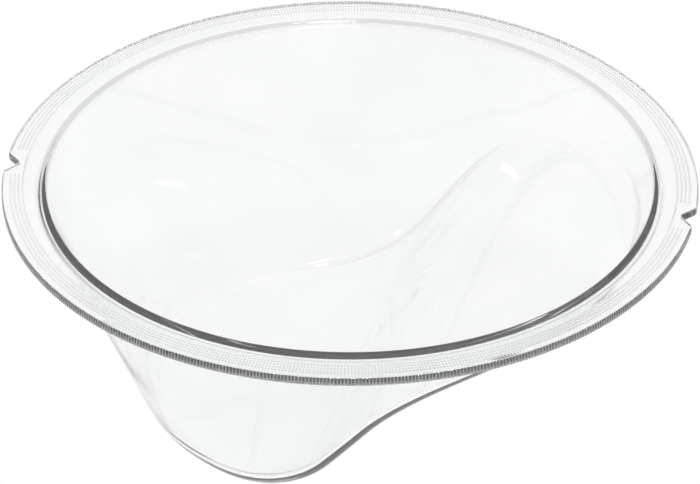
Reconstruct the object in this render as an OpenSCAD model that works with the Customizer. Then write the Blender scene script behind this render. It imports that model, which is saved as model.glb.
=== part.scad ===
// Porthole glass for the door of a front-loading washing machine.
// One piece of pressed clear glass: a flat flange with two locating notches, a rounded lip,
// a conical wall, and a floor on two levels that an S-shaped ramp joins.
// The mouth faces up, and the flange's axis is Z. The shallow shelf lies towards +X and the
// deep floor towards -X, and the bowl is alike on both sides of the XZ plane.

/* [Flange] */
// Outer diameter of the flange
flange_d = 370; // [340:1:400]
// Width of the flange, from the rim to the outside of the wall carried up to the top face
flange_w = 19; // [18:0.1:26]
// Thickness of the flange
flange_t = 4.6; // [3.5:0.1:6]
// Rounding of the rim's upper and lower edges
rim_round = 0.8; // [0.3:0.1:1.5]

/* [Notches] */
// Width of a notch between its sharp mouth corners
notch_w = 17; // [12:0.5:24]
// Depth of a notch, from the rim to its root
notch_depth = 7; // [5:0.5:9]
// Radius at the root of a notch
notch_root_r = 1.5; // [0.5:0.1:2.5]
// Radius at the mouth corners of a notch
notch_mouth_r = 5; // [1:0.5:6]
// Direction of the first notch, from +X
notch_first = 1.5; // [-20:0.5:20]
// Turn from the first notch to the second, off a half turn so that the glass fits one way only
notch_turn = 188; // [160:1:200]

/* [Wall] */
// Lean of the wall from upright, in degrees
wall_lean = 22; // [18:0.5:25]
// Thickness of the wall and the floor
glass_t = 4.5; // [3.8:0.1:6]
// Radius of the lip between the flange's top face and the inside of the wall
lip_r = 2; // [1.5:0.5:8]
// Radius of the neck between the flange's underside and the outside of the wall
neck_r = 6; // [4:0.5:10]

/* [Floor] */
// Depth of the deep floor, from the flange's top face to the inside
deep_depth = 127.5; // [115:0.5:140]
// Depth of the shallow shelf, from the flange's top face to the inside
shelf_depth = 26; // [24:0.5:36]
// Slope of the ramp between the two levels, in degrees
ramp_slope = 53; // [46:0.5:58]
// Place along X where the ramp's straight stretch would meet the deep floor
ramp_foot = -7; // [-20:0.5:10]
// Radius of the ramp's foot, on the inside
foot_r = 74; // [40:1:90]
// Radius of the ramp's crest, on the inside
crest_r = 110; // [60:1:140]
// Radius of the corner between wall and floor, on the inside
corner_in_r = 10; // [6:0.5:14]
// Radius of the corner between wall and floor, on the outside
corner_out_r = 11; // [8:0.5:15]

/* [Hidden] */
$fn = 192;

// Facets round the bowl, along a corner and from a corner to the axis
sectors = 96;
corner_steps = 4;
floor_steps = 12;
// Steps along a rounded stretch of a profile, and of the search for a corner
arc_steps = 5;
search_steps = 24;
// Flat stretch beyond the neck and the lip that the bowl and the flange ring share
lap_start = 1;
lap_end = 4;
// Room for a cut to run past a face
past = 1;

rim_r = flange_d / 2;
height = deep_depth + glass_t;
// Outer radius of the wall, carried up to the flange's top face
wall_top_r = rim_r - flange_w;
// Length from a sharp corner to a rounding's tangent point, for each unit of its radius
lean_tangent = tan((90 - wall_lean) / 2);
// Centres of the lip's and the neck's roundings, as [radius, height]
lip_centre = [wall_r(0, 0) + lip_r * lean_tangent, -lip_r];
neck_centre = [wall_r(-flange_t, glass_t) + neck_r * lean_tangent, -flange_t - neck_r];
flat_r = max(lip_centre[0], neck_centre[0]);
crest_x = ramp_foot + (deep_depth - shelf_depth) / tan(ramp_slope);
// Centres of the ramp's two bends, which the inside and the outside share
foot_x = ramp_foot - foot_r * tan(ramp_slope / 2);
foot_z = foot_r - deep_depth;
bend_x = crest_x + crest_r * tan(ramp_slope / 2);
bend_z = -shelf_depth - crest_r;

glass_colour = [0.85, 0.92, 0.9, 0.45];

// Points along an arc about a centre, from one angle to another
function arc(centre, r, from, to) = [
    for (i = [0:arc_steps])
        let (a = from + (to - from) * i / arc_steps)
            centre + r * [cos(a), sin(a)]
];

// Radius of the wall at a height below the flange's top face; depth is 0 on the inside
// face and glass_t on the outside face
function wall_r(z, depth) = wall_top_r - (glass_t - depth) / cos(wall_lean) + z * tan(wall_lean);

// Height of the wall at a radius
function wall_z(r, depth) = (r - wall_r(0, depth)) / tan(wall_lean);

// Height of the floor at a place along X: deep floor, foot, ramp, crest and shelf
function floor_z(x, depth) =
    let (foot = foot_r + depth, crest = crest_r - depth)
    x <= foot_x ? -deep_depth - depth
    : x <= foot_x + foot * sin(ramp_slope) ? foot_z - sqrt(foot ^ 2 - (x - foot_x) ^ 2)
    : x >= bend_x ? -shelf_depth - depth
    : x >= bend_x - crest * sin(ramp_slope) ? bend_z + sqrt(crest ^ 2 - (bend_x - x) ^ 2)
    : -deep_depth + (x - ramp_foot) * tan(ramp_slope) - depth / cos(ramp_slope);

// Radius at which the wall meets the floor in one direction, found by halving the interval
function meeting_r(a, depth, low, high, steps) =
    let (r = (low + high) / 2)
    steps == 0 ? r
    : wall_z(r, depth) > floor_z(r * cos(a), depth) ? meeting_r(a, depth, low, r, steps - 1)
    : meeting_r(a, depth, r, high, steps - 1);

// Wall, corner and floor of one face in one direction, as [radius, height]: the corner leaves
// wall and floor along their tangents
function wall_and_floor(a, depth, corner_r) =
    let (
        r = meeting_r(a, depth, 0, wall_r(0, depth), search_steps),
        leg = corner_r * lean_tangent,
        meet = [r, wall_z(r, depth)],
        on_wall = meet + leg * [sin(wall_lean), cos(wall_lean)],
        floor_r = r - leg,
        on_floor = [floor_r, floor_z(floor_r * cos(a), depth)]
    )
    concat(
        [
            for (i = [0:corner_steps])
                let (u = i / corner_steps)
                    (1 - u) ^ 2 * on_wall + 2 * u * (1 - u) * meet + u ^ 2 * on_floor
        ],
        [
            for (i = [1:floor_steps - 1])
                let (q = floor_r * (1 - i / floor_steps))
                    [q, floor_z(q * cos(a), depth)]
        ]
    );

// One face all round, one direction after another, with the point on the axis last. Each
// direction starts with a profile that comes in from the flange
function bowl_face(start, depth, corner_r) = concat(
    [
        for (s = [0:sectors - 1])
            let (a = 360 * s / sectors)
                for (p = concat(start, wall_and_floor(a, depth, corner_r)))
                    [p[0] * cos(a), p[0] * sin(a), p[1]]
    ],
    [[0, 0, floor_z(0, depth)]]
);

// Lip, neck, wall and floor: an inner and an outer face, closed inside the flange
module bowl() {
    lap_r = flat_r + lap_end;
    bend = 180 - wall_lean;
    inner_start = concat([[lap_r, 0]], arc(lip_centre, lip_r, 90, bend));
    outer_start = concat([[lap_r, -flange_t]], arc(neck_centre, neck_r, 90, bend));
    inner = bowl_face(inner_start, 0, corner_in_r);
    outer = bowl_face(outer_start, glass_t, corner_out_r);
    shift = len(outer);
    rows = (shift - 1) / sectors;
    skin = [
        for (s = [0:sectors - 1])
            let (here = s * rows, next = (s + 1) % sectors * rows)
                each concat(
                    [for (i = [0:rows - 2]) [here + i, next + i, next + i + 1]],
                    [for (i = [0:rows - 2]) [here + i, next + i + 1, here + i + 1]],
                    [[here + rows - 1, next + rows - 1, shift - 1]]
                )
    ];
    closing = [
        for (s = [0:sectors - 1])
            let (here = s * rows, next = (s + 1) % sectors * rows)
                each [[here, here + shift, next + shift], [here, next + shift, next]]
    ];
    inner_skin = [for (face = skin) [for (i = [2, 1, 0]) face[i] + shift]];
    polyhedron(concat(outer, inner), concat(skin, inner_skin, closing), convexity = 6);
}

// Flat ring of the flange, with a round rim
module flange_ring() {
    rim_x = rim_r - rim_round;
    ring_r = flat_r + lap_start;
    rotate_extrude()
        polygon(concat(
            [[ring_r, -flange_t], [ring_r, 0]],
            arc([rim_x, -rim_round], rim_round, 90, 0),
            arc([rim_x, rim_round - flange_t], rim_round, 0, -90)
        ));
}

// Outline of one notch in the rim at +X: straight sides from a round root to a round mouth
module notch_outline() {
    half = notch_w / 2;
    mouth = [sqrt(rim_r ^ 2 - half ^ 2), half];
    root = [rim_r - notch_depth + notch_root_r, 0];
    span = mouth - root;
    touch = atan2(span[1], span[0]) + acos(notch_root_r / norm(span));
    side = root + notch_root_r * [cos(touch), sin(touch)];
    inward = (side - mouth) / norm(side - mouth);
    along = [-half, mouth[0]] / rim_r;
    opening = acos(inward * along);
    leg = notch_mouth_r / tan(opening / 2);
    bisector = (inward + along) / norm(inward + along);
    mouth_centre = mouth + bisector * notch_mouth_r / sin(opening / 2);
    translate(root)
        circle(r = notch_root_r);
    for (flip = [1, -1])
        scale([1, flip]) {
            polygon([root, side, mouth, mouth + [past, 0], [rim_r + past, 0]]);
            difference() {
                polygon([mouth + inward * leg, mouth_centre, mouth + along * leg, mouth + [past, 0]]);
                translate(mouth_centre)
                    circle(r = notch_mouth_r);
            }
        }
}

module notches() {
    for (a = [notch_first, notch_first + notch_turn])
        rotate(a)
            translate([0, 0, -flange_t - past])
                linear_extrude(flange_t + 2 * past)
                    notch_outline();
}

module door_glass() {
    color(glass_colour)
        translate([0, 0, height]) {
            difference() {
                flange_ring();
                notches();
            }
            bowl();
        }
}

door_glass();
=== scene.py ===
"""Looks of a pressed-glass porthole bowl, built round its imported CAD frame."""

import logging
import math
from dataclasses import dataclass, field
from enum import Enum
from typing import Any, Optional, Union

import bpy
import numpy as np
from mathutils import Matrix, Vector


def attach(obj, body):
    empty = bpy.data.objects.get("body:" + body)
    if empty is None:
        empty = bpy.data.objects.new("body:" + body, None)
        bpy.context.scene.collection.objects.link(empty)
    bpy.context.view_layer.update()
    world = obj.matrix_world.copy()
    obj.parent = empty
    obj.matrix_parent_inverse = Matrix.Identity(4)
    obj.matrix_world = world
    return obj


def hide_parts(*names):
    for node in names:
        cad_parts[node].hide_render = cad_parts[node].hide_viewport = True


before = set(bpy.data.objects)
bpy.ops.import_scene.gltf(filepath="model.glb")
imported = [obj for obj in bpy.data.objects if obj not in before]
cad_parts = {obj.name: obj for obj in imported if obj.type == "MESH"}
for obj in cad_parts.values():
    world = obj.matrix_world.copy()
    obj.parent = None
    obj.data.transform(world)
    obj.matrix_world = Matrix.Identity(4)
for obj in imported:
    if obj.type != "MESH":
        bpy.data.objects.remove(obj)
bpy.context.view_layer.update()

LOG = logging.getLogger("door_glass")
MM = 0.001
FULL_TURN = 2.0 * math.pi
SENSOR_WIDTH = 36.0
# Steps of a search by halving, and the least square under an arc's root beyond its ends
HALVINGS = 40
LEAST_SQUARE = 1.0

Array = np.ndarray
Colour = tuple[float, float, float]
Stops = tuple[tuple[float, float], ...]


class Face(Enum):
    """The two faces of the bowl's wall and floor."""

    INSIDE = "inside"
    OUTSIDE = "outside"


class Ray(Enum):
    """Kinds of ray that a stage material tells apart."""

    CAMERA = "Is Camera Ray"
    GLOSSY = "Is Glossy Ray"
    TRANSMISSION = "Is Transmission Ray"


class Shade:
    """A shader socket on which Python's operators add Math nodes."""

    def __init__(self, tree: "Tree", socket: bpy.types.NodeSocket) -> None:
        """Wraps one output socket of a tree.

        Args:
            tree: the tree that the socket is in.
            socket: the output.
        """
        self.tree = tree
        self.socket = socket

    def _math(self, operation: str, first: Any, second: Any) -> "Shade":
        """Adds one Math node.

        Args:
            operation: Blender's name of the operation.
            first: left value, a Shade or a number.
            second: right value, a Shade or a number.

        Returns:
            The node's result.
        """
        return self.tree.node("ShaderNodeMath", {"operation": operation}, {0: first, 1: second})

    def __add__(self, other: Any) -> "Shade":
        """Sum.

        Args:
            other: a Shade or a number.

        Returns:
            The sum.
        """
        return self._math("ADD", self, other)

    __radd__ = __add__

    def __sub__(self, other: Any) -> "Shade":
        """Difference.

        Args:
            other: a Shade or a number.

        Returns:
            The difference.
        """
        return self._math("SUBTRACT", self, other)

    def __rsub__(self, other: Any) -> "Shade":
        """Difference with this value on the right.

        Args:
            other: a number.

        Returns:
            The difference.
        """
        return self._math("SUBTRACT", other, self)

    def __mul__(self, other: Any) -> "Shade":
        """Product.

        Args:
            other: a Shade or a number.

        Returns:
            The product.
        """
        return self._math("MULTIPLY", self, other)

    __rmul__ = __mul__

    def above(self, other: Any) -> "Shade":
        """Compares two values.

        Args:
            other: a Shade or a number.

        Returns:
            1 where this value is above the other, and 0 elsewhere.
        """
        return self._math("GREATER_THAN", self, other)

    def larger(self, other: Any) -> "Shade":
        """Picks the larger of two values.

        Args:
            other: a Shade or a number.

        Returns:
            The larger value.
        """
        return self._math("MAXIMUM", self, other)


class Tree:
    """A node tree that is filled from empty."""

    def __init__(self, owner: Union[bpy.types.Material, bpy.types.World]) -> None:
        """Empties the owner's node tree.

        Args:
            owner: the material or world to fill.
        """
        owner.use_nodes = True
        self.nodes = owner.node_tree.nodes
        self.links = owner.node_tree.links
        self.nodes.clear()

    def node(
        self,
        kind: str,
        settings: Optional[dict[str, Any]] = None,
        inputs: Optional[dict[Any, Any]] = None,
        output: Union[int, str] = 0,
    ) -> Optional[Shade]:
        """Adds a node, sets it up and links it.

        Args:
            kind: Blender's type of the node.
            settings: properties of the node; "stops" lists a ramp's (place, colour) pairs.
            inputs: values or Shades by the socket's name or number.
            output: name or number of the socket to hand back.

        Returns:
            The chosen output, or None where the node has none.
        """
        made = self.nodes.new(kind)
        for name, value in (settings or {}).items():
            if name == "stops":
                self._set_stops(made.color_ramp, value)
            else:
                setattr(made, name, value)
        for name, value in (inputs or {}).items():
            if isinstance(value, Shade):
                self.links.new(value.socket, made.inputs[name])
            else:
                made.inputs[name].default_value = value
        return Shade(self, made.outputs[output]) if len(made.outputs) else None

    @staticmethod
    def _set_stops(ramp: bpy.types.ColorRamp, stops: list[tuple[float, Colour]]) -> None:
        """Gives a colour ramp its stops.

        Args:
            ramp: the ramp, with Blender's two first stops.
            stops: (place, colour) pairs in rising order.
        """
        while len(ramp.elements) < len(stops):
            ramp.elements.new(1.0)
        for element, (place, colour) in zip(ramp.elements, stops):
            element.position = place
            element.color = (*colour, 1.0)

    def ramp(self, factor: Shade, stops: Stops) -> Shade:
        """Maps a value through a grey ramp.

        Args:
            factor: the value, from 0 to 1.
            stops: (place, grey) pairs in rising order.

        Returns:
            The ramp's grey.
        """
        colours = [(place, (grey, grey, grey)) for place, grey in stops]
        return self.node("ShaderNodeValToRGB", {"stops": colours}, {"Fac": factor})

    def mix(self, factor: Shade, first: Any, second: Any) -> Shade:
        """Mixes two colours.

        Args:
            factor: share of the second colour.
            first: a Shade or a colour.
            second: a Shade or a colour.

        Returns:
            The mixed colour.
        """
        ends = [one if isinstance(one, Shade) else (*one, 1.0) for one in (first, second)]
        inputs = {"Factor": factor, "A": ends[0], "B": ends[1]}
        return self.node("ShaderNodeMix", {"data_type": "RGBA"}, inputs, "Result")

    def blend(self, factor: Shade, first: Shade, second: Shade) -> Shade:
        """Mixes two shaders.

        Args:
            factor: share of the second shader.
            first: the first shader.
            second: the second shader.

        Returns:
            The mixed shader.
        """
        return self.node("ShaderNodeMixShader", None, {0: factor, 1: first, 2: second})

    def vector(self, operation: str, inputs: dict[int, Any], output: str = "Vector") -> Shade:
        """Adds one Vector Math node.

        Args:
            operation: Blender's name of the operation.
            inputs: Shades or vectors by the socket's number.
            output: "Vector", or "Value" where the result is a number.

        Returns:
            The node's result.
        """
        return self.node("ShaderNodeVectorMath", {"operation": operation}, inputs, output)

    def rays(self, *kinds: Ray) -> Shade:
        """Tells kinds of ray apart.

        Args:
            kinds: the kinds to find.

        Returns:
            1 for any of the kinds, and 0 for the others.
        """
        found = [self.node("ShaderNodeLightPath", output=kind.value) for kind in kinds]
        total = found[0]
        for one in found[1:]:
            total = total.larger(one)
        return total


@dataclass(frozen=True)
class BowlShape:
    """Sizes of the bowl and its flange in millimetres; heights count from the flange's top."""

    rim_r: float = 185.0
    flange_w: float = 19.0
    flange_t: float = 4.6
    rim_round: float = 0.8
    wall_lean: float = math.radians(22.0)
    glass_t: float = 4.5
    lip_r: float = 2.0
    neck_r: float = 6.0
    deep_depth: float = 127.5
    shelf_depth: float = 26.0
    ramp_slope: float = math.radians(53.0)
    ramp_foot: float = -7.0
    foot_r: float = 74.0
    crest_r: float = 110.0
    corner_in_r: float = 12.0
    corner_out_r: float = 11.0

    @property
    def height(self) -> float:
        """Height of the flange's top above the underside of the deep floor.

        Returns:
            The height, in millimetres.
        """
        return self.deep_depth + self.glass_t

    @property
    def lean_tangent(self) -> float:
        """Length from a sharp corner to its rounding, for each unit of the radius.

        Returns:
            The tangent of half the angle that the corner turns through.
        """
        return math.tan((math.pi / 2 - self.wall_lean) / 2)

    def depth(self, face: Face) -> float:
        """Depth of a face, square to the glass.

        Args:
            face: inside or outside.

        Returns:
            The distance from the inside face.
        """
        return 0.0 if face is Face.INSIDE else self.glass_t

    def wall_r(self, z: Any, face: Face) -> Any:
        """Radius of the conical wall: a straight line that leans inwards below.

        Args:
            z: heights.
            face: inside or outside.

        Returns:
            Radii, of z's shape.
        """
        inset = (self.glass_t - self.depth(face)) / math.cos(self.wall_lean)
        return self.rim_r - self.flange_w - inset + z * math.tan(self.wall_lean)

    def wall_z(self, r: Any, face: Face) -> Any:
        """Height of the conical wall.

        Args:
            r: radii.
            face: inside or outside.

        Returns:
            Heights, of r's shape.
        """
        return (r - self.wall_r(0.0, face)) / math.tan(self.wall_lean)

    def floor_form(self, x: Array, face: Face) -> tuple[Array, Array]:
        """Floor along X: deep level, foot arc, straight ramp, crest arc and shelf.

        Args:
            x: places along the mirror plane.
            face: inside or outside, which lie parallel, glass_t apart.

        Returns:
            Heights and slopes, of x's shape.
        """
        depth = self.depth(face)
        sine, half = math.sin(self.ramp_slope), math.tan(self.ramp_slope / 2)
        steep = math.tan(self.ramp_slope)
        foot, crest = self.foot_r + depth, self.crest_r - depth
        crest_x = self.ramp_foot + (self.deep_depth - self.shelf_depth) / steep
        foot_x = self.ramp_foot - self.foot_r * half
        bend_x = crest_x + self.crest_r * half
        foot_arc = np.sqrt(np.maximum(foot**2 - (x - foot_x) ** 2, LEAST_SQUARE))
        crest_arc = np.sqrt(np.maximum(crest**2 - (bend_x - x) ** 2, LEAST_SQUARE))
        ramp = -self.deep_depth - depth / math.cos(self.ramp_slope)
        where = [
            x <= foot_x,
            x <= foot_x + foot * sine,
            x >= bend_x,
            x >= bend_x - crest * sine,
        ]
        heights = [
            np.full_like(x, -self.deep_depth - depth),
            self.foot_r - self.deep_depth - foot_arc,
            np.full_like(x, -self.shelf_depth - depth),
            -self.shelf_depth - self.crest_r + crest_arc,
        ]
        slopes = [
            np.zeros_like(x),
            (x - foot_x) / foot_arc,
            np.zeros_like(x),
            (bend_x - x) / crest_arc,
        ]
        return (
            np.select(where, heights, ramp + (x - self.ramp_foot) * steep),
            np.select(where, slopes, steep),
        )

    def floor_z(self, x: Array, face: Face) -> Array:
        """Height of the floor along X.

        Args:
            x: places along the mirror plane.
            face: inside or outside.

        Returns:
            Heights, of x's shape.
        """
        return self.floor_form(x, face)[0]

    def floor_normal(self, x: Array, face: Face) -> Array:
        """Direction out of the glass at the floor: square to its slope along X.

        Args:
            x: places along the mirror plane.
            face: inside, which faces up, or outside.

        Returns:
            One unit vector for each place.
        """
        slope = self.floor_form(x, face)[1]
        out = np.stack([-slope, np.zeros_like(x), np.ones_like(x)], 1)
        out /= np.linalg.norm(out, axis=1)[:, None]
        return out if face is Face.INSIDE else -out

    def meeting_r(self, angle: Array, face: Face) -> Array:
        """Radius at which the wall meets the floor, found by halving the interval.

        Args:
            angle: directions round the axis.
            face: inside or outside.

        Returns:
            Radii, of angle's shape.
        """
        low = np.zeros_like(angle)
        high = np.full_like(angle, self.wall_r(0.0, face))
        for _ in range(HALVINGS):
            middle = (low + high) / 2
            over = self.wall_z(middle, face) > self.floor_z(middle * np.cos(angle), face)
            low, high = np.where(over, low, middle), np.where(over, middle, high)
        return (low + high) / 2

    def bend(self, face: Face) -> tuple[float, float, float]:
        """Rounding between the flange and the wall.

        Args:
            face: inside for the lip, outside for the neck.

        Returns:
            Its centre's radius and height, and its own radius.
        """
        top, r = (0.0, self.lip_r) if face is Face.INSIDE else (-self.flange_t, self.neck_r)
        return self.wall_r(top, face) + r * self.lean_tangent, top - r, r


class Skin:
    """A closed skin of vertex rings, each joined to the ring before it."""

    def __init__(self) -> None:
        """Starts with no ring."""
        self.points: list[Array] = []
        self.normals: list[Array] = []
        self.quads: list[Array] = []
        self.triangles: list[Array] = []
        self.last: Optional[Array] = None
        self.count = 0

    def add(
        self, radius: Any, height: Any, angle: Array, normal: Optional[Array] = None
    ) -> None:
        """Adds a ring of points at radius, angle and height, and joins it to the last one.

        Args:
            radius: distances from the axis, in millimetres.
            height: heights, in millimetres.
            angle: directions of the points, evenly round the turn; one point is a pole.
            normal: unit vectors out of the glass; without them Blender's own are used.
        """
        ring = np.empty((len(angle), 3))
        ring[:, 0] = radius * np.cos(angle)
        ring[:, 1] = radius * np.sin(angle)
        ring[:, 2] = height
        here = np.arange(len(angle)) + self.count
        self.points.append(ring)
        self.normals.append(np.zeros_like(ring) if normal is None else normal)
        self.count += len(angle)
        if self.last is not None:
            self._join(self.last, here)
        self.last = here

    def _join(self, a: Array, b: Array) -> None:
        """Joins two rings: quads where they have as many points, and fans otherwise.

        Args:
            a: vertex numbers of the ring nearer the start.
            b: vertex numbers of the next ring.
        """
        if len(a) == len(b):
            self.quads.append(np.stack([a, b, np.roll(b, -1), np.roll(a, -1)], 1))
        elif len(a) < len(b):
            self._fan(a, b, False)
        else:
            self._fan(b, a, True)

    def _fan(self, few: Array, many: Array, flip: bool) -> None:
        """Fans from each point of a sparse ring, or from a pole, to a dense ring.

        The dense points nearest to a sparse one are joined to it, and one more triangle
        fills the gap between two neighbours of the sparse ring.

        Args:
            few: vertex numbers of the sparse ring.
            many: vertex numbers of the dense ring, a whole multiple as many.
            flip: True where the dense ring comes first.
        """
        following = np.roll(many, -1)
        share = len(many) // len(few)
        step = np.arange(len(many))
        half = share // 2 if len(few) > 1 else 0
        owner = few[((step + share - half) // share) % len(few)]
        made = [np.stack([owner, many, following], 1)]
        if len(few) > 1:
            middle = many[np.arange(len(few)) * share + half]
            made.append(np.stack([few, middle, np.roll(few, -1)], 1))
        for one in made:
            self.triangles.append(one[:, ::-1] if flip else one)

    def to_object(self, name: str, lift: float) -> bpy.types.Object:
        """Makes the mesh object.

        Args:
            name: name of the piece.
            lift: height of the skin's zero above the frame's origin, in millimetres.

        Returns:
            The linked, smooth-shaded object.
        """
        points = np.concatenate(self.points)
        points[:, 2] += lift
        faces = np.concatenate(self.quads).tolist() + np.concatenate(self.triangles).tolist()
        mesh = bpy.data.meshes.new(name)
        mesh.from_pydata((points * MM).tolist(), [], faces)
        mesh.shade_smooth()
        mesh.validate()
        mesh.normals_split_custom_set_from_vertices(np.concatenate(self.normals).tolist())
        made = bpy.data.objects.new(name, mesh)
        bpy.context.scene.collection.objects.link(made)
        return made


def turn(count: int) -> Array:
    """Evenly spaced directions round the axis.

    Args:
        count: number of directions.

    Returns:
        Angles from +X.
    """
    return np.arange(count) * FULL_TURN / count


@dataclass
class Bowl:
    """Wall, corner and two-level floor of the bowl, with the lip and the neck."""

    shape: BowlShape
    sectors: int = 330
    centre_sectors: int = 110
    centre_share: float = 0.25
    bend_steps: int = 7
    wall_steps: int = 4
    corner_steps: int = 6
    floor_steps: int = 30
    floor_edge: float = 0.985
    support: float = 0.4
    wall_length: float = 60.0

    def rows(self, face: Face) -> list[tuple[Any, ...]]:
        """Rings of one face from the flange to the axis.

        The bend is an arc, the wall a straight line, the corner a parabola that leaves wall
        and floor along their tangents, and the floor keeps its height along Y. Close rings
        at both ends of the wall and at the floor's edge hold the shading to the bends.

        Args:
            face: inside or outside.

        Returns:
            (radius, height, directions) of each ring, and the normals on the floor.
        """
        shape, angle = self.shape, turn(self.sectors)
        bend_r, bend_z, r = shape.bend(face)
        arc = np.linspace(math.pi / 2, math.pi - shape.wall_lean, self.bend_steps + 1)
        made = [(bend_r + self.support, bend_z + r, angle)]
        made += [(bend_r + r * math.cos(a), bend_z + r * math.sin(a), angle) for a in arc]
        top_z = bend_z + r * math.sin(arc[-1])

        corner_r = shape.corner_in_r if face is Face.INSIDE else shape.corner_out_r
        leg = corner_r * shape.lean_tangent
        meet_r = shape.meeting_r(angle, face)
        meet_z = shape.wall_z(meet_r, face)
        wall_z = meet_z + leg * math.cos(shape.wall_lean)
        wall_r = meet_r + leg * math.sin(shape.wall_lean)
        floor_r = meet_r - leg
        floor_z = shape.floor_z(floor_r * np.cos(angle), face)

        drop = np.linspace(0.0, 1.0, self.wall_steps + 1)[1:-1]
        near_end = self.support / self.wall_length
        for share in (near_end, *drop, 1.0 - near_end):
            z = top_z + (wall_z - top_z) * share
            made.append((shape.wall_r(z, face), z, angle))
        for u in np.linspace(0.0, 1.0, self.corner_steps + 1):
            weights = (1 - u) ** 2, 2 * u * (1 - u), u**2
            made.append(
                (
                    weights[0] * wall_r + weights[1] * meet_r + weights[2] * floor_r,
                    weights[0] * wall_z + weights[1] * meet_z + weights[2] * floor_z,
                    angle,
                )
            )
        thin = self.sectors // self.centre_sectors
        inward = 1.0 - np.arange(1, self.floor_steps) / self.floor_steps
        for share in (self.floor_edge, *inward):
            pick = slice(None, None, thin if share < self.centre_share else 1)
            q = floor_r[pick] * share
            x = q * np.cos(angle[pick])
            made.append((q, shape.floor_z(x, face), angle[pick], shape.floor_normal(x, face)))
        made.append((0.0, shape.floor_z(np.zeros(1), face), np.zeros(1)))
        return made


@dataclass
class Flange:
    """Outer band of the flange, with its pressed dots, fluted rim and two notches."""

    shape: BowlShape
    flutes: int = 660
    samples: int = 4
    flute_depth: float = 0.85
    flute_fade: float = 1.5
    dot_rows: int = 4
    dot_first: float = 173.9
    dot_pitch: float = 2.16
    dot_depth: float = 0.45
    dot_steps: int = 4
    dot_clear: float = 12.0
    inner_r: float = 172.0
    notch_w: float = 17.0
    notch_depth: float = 7.0
    notch_root_r: float = 1.5
    notch_mouth_r: float = 5.0
    notch_at: tuple[float, float] = (math.radians(1.5), math.radians(189.5))
    root_points: int = 12
    mouth_points: int = 16
    rim_bevel: float = math.radians(45.0)
    support: float = 0.5
    angle: Array = field(init=False)

    def __post_init__(self) -> None:
        """Sets the directions of the band's points."""
        self.angle = turn(self.flutes * self.samples)

    def off_notch(self) -> Array:
        """Finds how far each direction is from the nearer notch.

        Returns:
            Angles, from 0 to a half turn.
        """
        turns = [(self.angle - at + math.pi) % FULL_TURN - math.pi for at in self.notch_at]
        return np.minimum(*np.abs(turns))

    def notch_profile(self) -> tuple[Array, Array]:
        """Half of a notch as angle and radius.

        A round root, a straight side along the tangent from the root's circle to the mouth,
        and a mouth corner that is a parabola between its tangents, turned into polar form
        about the flange's axis.

        Returns:
            Rising angles from the notch's middle, and the radius at each.
        """
        rim_r, half = self.shape.rim_r, self.notch_w / 2
        mouth = np.array([math.sqrt(rim_r**2 - half**2), half])
        root = np.array([rim_r - self.notch_depth + self.notch_root_r, 0.0])
        span = mouth - root
        touch = math.atan2(span[1], span[0])
        touch += math.acos(self.notch_root_r / np.linalg.norm(span))
        a = np.linspace(math.pi, touch, self.root_points)
        root_arc = root + self.notch_root_r * np.stack([np.cos(a), np.sin(a)], 1)
        inward = (root_arc[-1] - mouth) / np.linalg.norm(root_arc[-1] - mouth)
        along = np.array([-half, mouth[0]]) / rim_r
        opening = math.acos(float(inward @ along))
        leg = self.notch_mouth_r / math.tan(opening / 2)
        u = np.linspace(0.0, 1.0, self.mouth_points)[:, None]
        mouth_arc = mouth + (1 - u) ** 2 * leg * inward + u**2 * leg * along
        line = np.concatenate([root_arc, mouth_arc])
        return np.arctan2(line[:, 1], line[:, 0]), np.minimum(np.hypot(*line.T), rim_r)

    def rim(self) -> tuple[Array, Array]:
        """Outline of the rim and its flutes.

        Returns:
            The outline's radius, and how far each direction's flute goes in: a raised cosine
            that fades out inside the notches.
        """
        away = self.off_notch()
        places, radii = self.notch_profile()
        outline = np.interp(away, places, radii)
        fade = np.clip((away - places[-1]) * self.shape.rim_r / self.flute_fade, 0.0, 1.0)
        wave = 0.5 - 0.5 * np.cos(self.flutes * self.angle)
        return outline, self.flute_depth * wave * fade

    def dots(self, radius: Array) -> Array:
        """Depth of the pressed dots at a ring.

        Each dot is the product of two squared raised cosines, one along the rim and one
        across it. All rows but the innermost stop short of the notches.

        Args:
            radius: the ring's distances from the axis.

        Returns:
            Depths below the flange's top face.
        """
        row = (radius - self.dot_first) / self.dot_pitch
        number = np.round(row)
        across = (0.5 + 0.5 * np.cos(FULL_TURN * row)) ** 2
        along = (0.5 + 0.5 * np.cos(self.flutes * self.angle)) ** 2
        inside = (number >= 0) & (number < self.dot_rows)
        clear = self.off_notch() * self.shape.rim_r > self.dot_clear
        return self.dot_depth * across * along * (inside & (clear | (number == 0)))

    def rows(self) -> list[tuple[Any, Any, Array]]:
        """Rings of the band from the top face, round the rim, to the underside.

        The top rings close up towards a notch, so that the outermost follows its outline.
        The rim's rounded edges are arcs, and the flutes run out over them.

        Returns:
            (radius, height, directions) of each ring.
        """
        shape = self.shape
        outline, flute = self.rim()
        edge = shape.rim_r - shape.rim_round
        start = self.dot_first - self.dot_pitch / 2
        squeeze = (outline - shape.rim_r + edge - start) / (edge - start)
        steps = np.arange(self.dot_rows * self.dot_steps + 1) / self.dot_steps
        made = []
        for r in (*(start + steps * self.dot_pitch), edge - self.support, edge):
            ring = start + (r - start) * squeeze
            made.append((ring, -self.dots(ring), self.angle))
        low = -shape.flange_t
        edges = [(a, 0.0, -1) for a in (self.rim_bevel, 0.0)]
        edges += [(a, low, 1) for a in (0.0, self.rim_bevel)]
        for a, level, way in edges:
            inset = shape.rim_round * (1 - math.cos(a)) + flute * math.cos(a)
            rise = way * shape.rim_round * (1 - math.sin(a))
            made.append((outline - inset, level + rise, self.angle))
        made.append((outline - shape.rim_round, low, self.angle))
        made.append((outline - shape.rim_round - self.support, low, self.angle))
        return made


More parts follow.
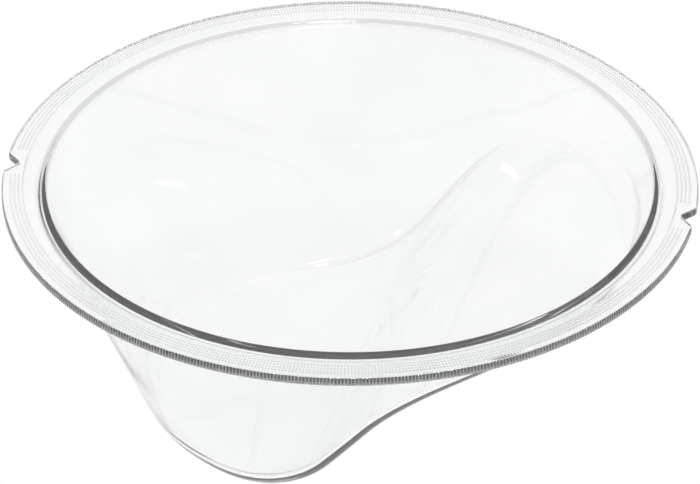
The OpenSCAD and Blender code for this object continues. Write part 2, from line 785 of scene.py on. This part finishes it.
@dataclass(frozen=True)
class PressedGlass:
    """Clear pressed glass with a faint chill ripple, a ground rim, and painted shade, a dark
    grey matt, on the pits and the lip.

    Radii and depths are in millimetres; stops are (place, share) pairs.
    """

    shape: BowlShape
    name: str = "pressed_glass"
    tint: Colour = (0.985, 0.99, 0.992)
    cool: Colour = (0.965, 0.975, 0.98)
    ior: float = 1.52
    roughness: float = 0.004
    cloud_scale: float = 14.0
    cloud_detail: float = 2.0
    ripple_scale: float = 22.0
    ripple_detail: float = 1.0
    ripple_strength: float = 0.02
    ripple_distance: float = 0.01
    matt: Colour = (0.86, 0.88, 0.88)
    matt_roughness: float = 0.55
    matt_sheen: float = 0.2
    see_through: float = 0.5
    bloom: float = 0.06
    # Painted shade on the pits and the lip: its dark grey colour, where it goes, and its share
    # at the pits and at the lip
    dark: Colour = (0.1, 0.105, 0.105)
    pit_band: tuple[float, float] = (171.0, 183.0)
    pit_painted_shade: float = 0.23
    pit_stops: Stops = ((0.03, 0.0), (0.12, 1.0), (0.6, 1.0), (0.65, 0.0))
    lip_width: float = 5.0
    lip_painted_shade: float = 0.26
    lip_stops: Stops = ((0.1, 0.0), (0.25, 1.0), (0.85, 1.0), (1.0, 0.0))
    rim_start: float = 184.0
    flute_stops: Stops = ((0.0, 0.0), (0.1, 0.03), (0.55, 0.04), (0.9, 0.85))
    low_rim_stops: Stops = ((0.45, 0.0), (0.7, 0.45))

    def matt_and_painted_shade(self, tree: Tree, place: Shade, cloud: Shade) -> tuple[Shade, Shade]:
        """Share of matt surface: a faint bloom and the fluted rim, and a painted shade of dark
        grey on the pits and the lip.

        The pits go by the depth below the flange's top, the lip by the distance from its
        bend, and the rim by the radius, where the crests of the flutes stand out, and by
        the depth, where its lower half is ground too.

        Args:
            tree: the material's nodes.
            place: object coordinates, in metres.
            cloud: slow noise from 0 to 1.

        Returns:
            The whole share, and 1 where the painted shade on the pits and the lip makes it
            darker.
        """
        shape = self.shape
        flat = tree.vector("MULTIPLY", {0: place, 1: (1 / MM, 1 / MM, 0.0)})
        radius = tree.vector("LENGTH", {0: flat}, "Value")
        height = tree.node("ShaderNodeSeparateXYZ", None, {0: place}, "Z")
        depth = shape.height - height * (1 / MM)
        dotted = radius.above(self.pit_band[0]) * (1.0 - radius.above(self.pit_band[1]))
        pits = dotted * tree.ramp(depth, self.pit_stops)
        flutes = tree.ramp(radius - self.rim_start, self.flute_stops)
        lower = tree.ramp(depth * (1 / shape.flange_t), self.low_rim_stops)
        rim = flutes.larger(radius.above(self.rim_start) * lower)
        bend_r, _, bend = shape.bend(Face.INSIDE)
        from_bend = (radius - bend_r) * (1 / self.lip_width) + 0.5
        lip = (1.0 - depth.above(bend)) * tree.ramp(from_bend, self.lip_stops)
        # Painted shade: the share of dark grey on the pits and on the lip
        dark = (pits * self.pit_painted_shade).larger(lip * self.lip_painted_shade)
        return (cloud * self.bloom).larger(dark).larger(rim), pits.larger(lip)

    def material(self) -> bpy.types.Material:
        """Makes the glass.

        Returns:
            The material: a refracting shader whose colour, roughness and normal change a
            little over the surface, mixed with a matt one that lets some light through and
            paints shade, dark grey, on the pits and the lip.
        """
        made = bpy.data.materials.new(self.name)
        tree = Tree(made)
        place = tree.node("ShaderNodeTexCoord", output="Object")
        cloud = tree.node(
            "ShaderNodeTexNoise",
            None,
            {"Vector": place, "Scale": self.cloud_scale, "Detail": self.cloud_detail},
        )
        ripple = tree.node(
            "ShaderNodeTexNoise",
            None,
            {"Vector": place, "Scale": self.ripple_scale, "Detail": self.ripple_detail},
        )
        bump = tree.node(
            "ShaderNodeBump",
            None,
            {
                "Strength": self.ripple_strength,
                "Distance": self.ripple_distance,
                "Height": ripple,
            },
        )
        glass = tree.node(
            "ShaderNodeBsdfPrincipled",
            None,
            {
                "Base Color": tree.mix(cloud, self.tint, self.cool),
                "Roughness": cloud * self.roughness,
                "IOR": self.ior,
                "Transmission Weight": 1.0,
                "Normal": bump,
            },
        )
        share, dark = self.matt_and_painted_shade(tree, place, cloud)
        # The matt colour turns to painted shade, dark grey, on the pits and the lip
        matt = tree.node(
            "ShaderNodeBsdfPrincipled",
            None,
            {
                "Base Color": tree.mix(dark, self.matt, self.dark),
                "Roughness": self.matt_roughness,
                "Specular IOR Level": self.matt_sheen,
            },
        )
        lit = tree.node("ShaderNodeBsdfTranslucent", None, {"Color": (*self.matt, 1.0)})
        # Ground glass on the rim lets some light through; the painted shade on the pits and the
        # lip lets none
        ground = tree.blend((1.0 - dark) * self.see_through, matt, lit)
        both = tree.blend(share, glass, ground)
        tree.node("ShaderNodeOutputMaterial", None, {"Surface": both})
        return made


@dataclass
class DoorGlass:
    """The whole pressed glass as one closed skin."""

    shape: BowlShape = field(default_factory=BowlShape)
    name: str = "pressed_bowl"
    node: str = "door_glass"
    slot: str = "clear_glass"

    def build(self) -> bpy.types.Object:
        """Lays the rings from the inside's middle, over the flange, to the underside's middle.

        Returns:
            The piece, riding on the part and standing for its CAD node.
        """
        bowl, flange, skin = Bowl(self.shape), Flange(self.shape), Skin()
        angle = turn(bowl.sectors)
        for ring in reversed(bowl.rows(Face.INSIDE)):
            skin.add(*ring)
        skin.add(flange.inner_r, 0.0, angle)
        for ring in flange.rows():
            skin.add(*ring)
        skin.add(flange.inner_r, -self.shape.flange_t, angle)
        for ring in bowl.rows(Face.OUTSIDE):
            skin.add(*ring)
        piece = skin.to_object(self.name, self.shape.height)
        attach(piece, "root")
        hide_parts(self.node)
        return piece

    def dress(self, piece: bpy.types.Object) -> None:
        """Gives the piece its glass.

        Args:
            piece: the built piece.
        """
        piece.data.materials.append(PressedGlass(self.shape).material())


@dataclass(frozen=True)
class Softbox:
    """A rectangular lamp that faces a point."""

    name: str
    place: tuple[float, float, float]
    aim: tuple[float, float, float]
    size: tuple[float, float]
    watts: float

    def build(self) -> bpy.types.Object:
        """Makes the lamp.

        Returns:
            The linked lamp object.
        """
        data = bpy.data.lights.new(self.name, "AREA")
        data.shape = "RECTANGLE"
        data.size, data.size_y = self.size
        data.energy = self.watts
        made = bpy.data.objects.new(self.name, data)
        made.location = self.place
        sight = Vector(self.aim) - Vector(self.place)
        made.rotation_euler = sight.to_track_quat("-Z", "Y").to_euler()
        bpy.context.scene.collection.objects.link(made)
        return made


@dataclass
class Studio:
    """Pale floor, soft light, white surroundings with one dark card, and the camera.

    Lengths are in metres. The card's stops are (place, share) pairs along the view's
    own directions: up, to the right and away from the camera.
    """

    shape: BowlShape
    azimuth: float = math.radians(13.95)
    elevation: float = math.radians(32.83)
    distance: float = 2.035
    lens: float = 196.64
    aim_down: float = math.radians(0.9964)
    clip: tuple[float, float] = (0.05, 60.0)
    floor_half: float = 6.0
    floor_points: int = 3
    floor_drop: float = 0.0003
    floor_glow: float = 0.965
    floor_dim: float = 0.93
    floor_shade: float = 0.07
    floor_pale: float = 0.8
    soft_light: float = 0.6
    sky_stops: Stops = ((0.495, 1.0), (0.5, 0.95), (0.66, 0.95), (0.75, 0.97), (1.0, 1.0))
    card: Colour = (0.08, 0.08, 0.085)
    card_up: Stops = ((0.57, 0.0), (0.6, 1.0), (0.73, 1.0), (0.76, 0.0))
    card_right: Stops = ((0.08, 0.0), (0.13, 1.0), (0.43, 1.0), (0.48, 0.0))
    card_away: Stops = ((0.1, 0.0), (0.3, 1.0))
    lamps: tuple[Softbox, ...] = (
        Softbox("overhead_softbox", (0.0, 0.4, 2.2), (0.0, 0.0, 0.0), (0.2, 0.5), 26.0),
        Softbox("side_softbox", (-1.6, -0.4, 1.3), (0.0, 0.0, 0.05), (0.08, 0.4), 4.0),
    )

    def floor(self) -> bpy.types.Object:
        """Makes the floor, a flat square on a two-parameter grid.

        Returns:
            The floor.
        """
        count = self.floor_points
        step = np.linspace(-self.floor_half, self.floor_half, count)
        x, y = np.meshgrid(step, step)
        points = np.stack([x.ravel(), y.ravel(), np.full(x.size, -self.floor_drop)], 1)
        corner = (np.arange(count - 1)[:, None] * count + np.arange(count - 1)).ravel()
        faces = np.stack([corner, corner + 1, corner + count + 1, corner + count], 1)
        mesh = bpy.data.meshes.new("pale_floor")
        mesh.from_pydata(points.tolist(), [], faces.tolist())
        made = bpy.data.objects.new("pale_floor", mesh)
        bpy.context.scene.collection.objects.link(made)
        mesh.materials.append(self.floor_paint())
        return made

    def floor_paint(self) -> bpy.types.Material:
        """Makes the floor's paint.

        Returns:
            A pale paint that shows white to the eye and a little dimmer through glass, and
            keeps a faint shadow.
        """
        made = bpy.data.materials.new("floor_paint")
        tree = Tree(made)
        shadow, plain = [
            tree.node("ShaderNodeBsdfDiffuse", None, {"Color": (grey, grey, grey, 1.0)})
            for grey in (self.floor_shade, self.floor_pale)
        ]
        glow = tree.node("ShaderNodeEmission", None, {"Strength": self.floor_glow})
        dim = tree.node("ShaderNodeEmission", None, {"Strength": self.floor_dim})
        shown = tree.blend(tree.rays(Ray.TRANSMISSION), glow, dim)
        bright = tree.node("ShaderNodeAddShader", None, {0: shadow, 1: shown})
        seen = tree.rays(Ray.CAMERA, Ray.GLOSSY, Ray.TRANSMISSION)
        both = tree.blend(seen, plain, bright)
        tree.node("ShaderNodeOutputMaterial", None, {"Surface": both})
        return made

    def surroundings(self) -> None:
        """Makes the world.

        It is white where it is seen or mirrored, and soft light for matt surfaces. Through
        glass it is a pale sky with one dark card, which stands behind the bowl, to the right.
        """
        world = bpy.data.worlds.new("studio")
        bpy.context.scene.world = world
        tree = Tree(world)
        direction = tree.node("ShaderNodeTexCoord", output="Generated")
        rise = tree.node("ShaderNodeSeparateXYZ", None, {0: direction}, "Z")
        height = 0.5 + 0.5 * rise
        cosine, sine = math.cos(self.azimuth), math.sin(self.azimuth)
        right = tree.vector("DOT_PRODUCT", {0: direction, 1: (cosine, sine, 0.0)}, "Value")
        away = tree.vector("DOT_PRODUCT", {0: direction, 1: (-sine, cosine, 0.0)}, "Value")
        card = tree.ramp(height, self.card_up) * tree.ramp(right, self.card_right)
        card = card * tree.ramp(away, self.card_away)
        zones = tree.mix(card, tree.ramp(height, self.sky_stops), self.card)
        white = tree.node("ShaderNodeBackground", None, {"Strength": 1.0})
        soft = tree.node("ShaderNodeBackground", None, {"Strength": self.soft_light})
        room = tree.node("ShaderNodeBackground", None, {"Color": zones, "Strength": 1.0})
        plain = tree.blend(tree.rays(Ray.CAMERA, Ray.GLOSSY), soft, white)
        whole = tree.blend(tree.rays(Ray.TRANSMISSION), plain, room)
        tree.node("ShaderNodeOutputWorld", None, {"Surface": whole})

    def camera(self) -> bpy.types.Object:
        """Makes the camera at the photograph's viewing angle.

        Returns:
            The scene's camera, a long lens aimed a little below the flange.
        """
        data = bpy.data.cameras.new("camera")
        data.lens = self.lens
        data.sensor_width = SENSOR_WIDTH
        data.clip_start, data.clip_end = self.clip
        made = bpy.data.objects.new("camera", data)
        bpy.context.scene.collection.objects.link(made)
        back = Vector(
            (
                math.sin(self.azimuth) * math.cos(self.elevation),
                -math.cos(self.azimuth) * math.cos(self.elevation),
                math.sin(self.elevation),
            )
        )
        made.location = Vector((0.0, 0.0, self.shape.height * MM)) + back * self.distance
        tilt = math.pi / 2 - self.elevation - self.aim_down
        made.rotation_euler = (tilt, 0.0, self.azimuth)
        bpy.context.scene.camera = made
        return made

    def build(self) -> None:
        """Sets the stage."""
        self.camera()
        self.floor()
        self.surroundings()
        for lamp in self.lamps:
            lamp.build()
        bpy.context.scene.view_settings.view_transform = "Standard"


def main() -> None:
    """Builds the glass and its stage."""
    logging.basicConfig(level=logging.INFO)
    glass = DoorGlass()
    piece = glass.build()
    glass.dress(piece)
    LOG.info("%s: %d faces", piece.name, len(piece.data.polygons))
    Studio(glass.shape).build()


if __name__ == "__main__":
    main()
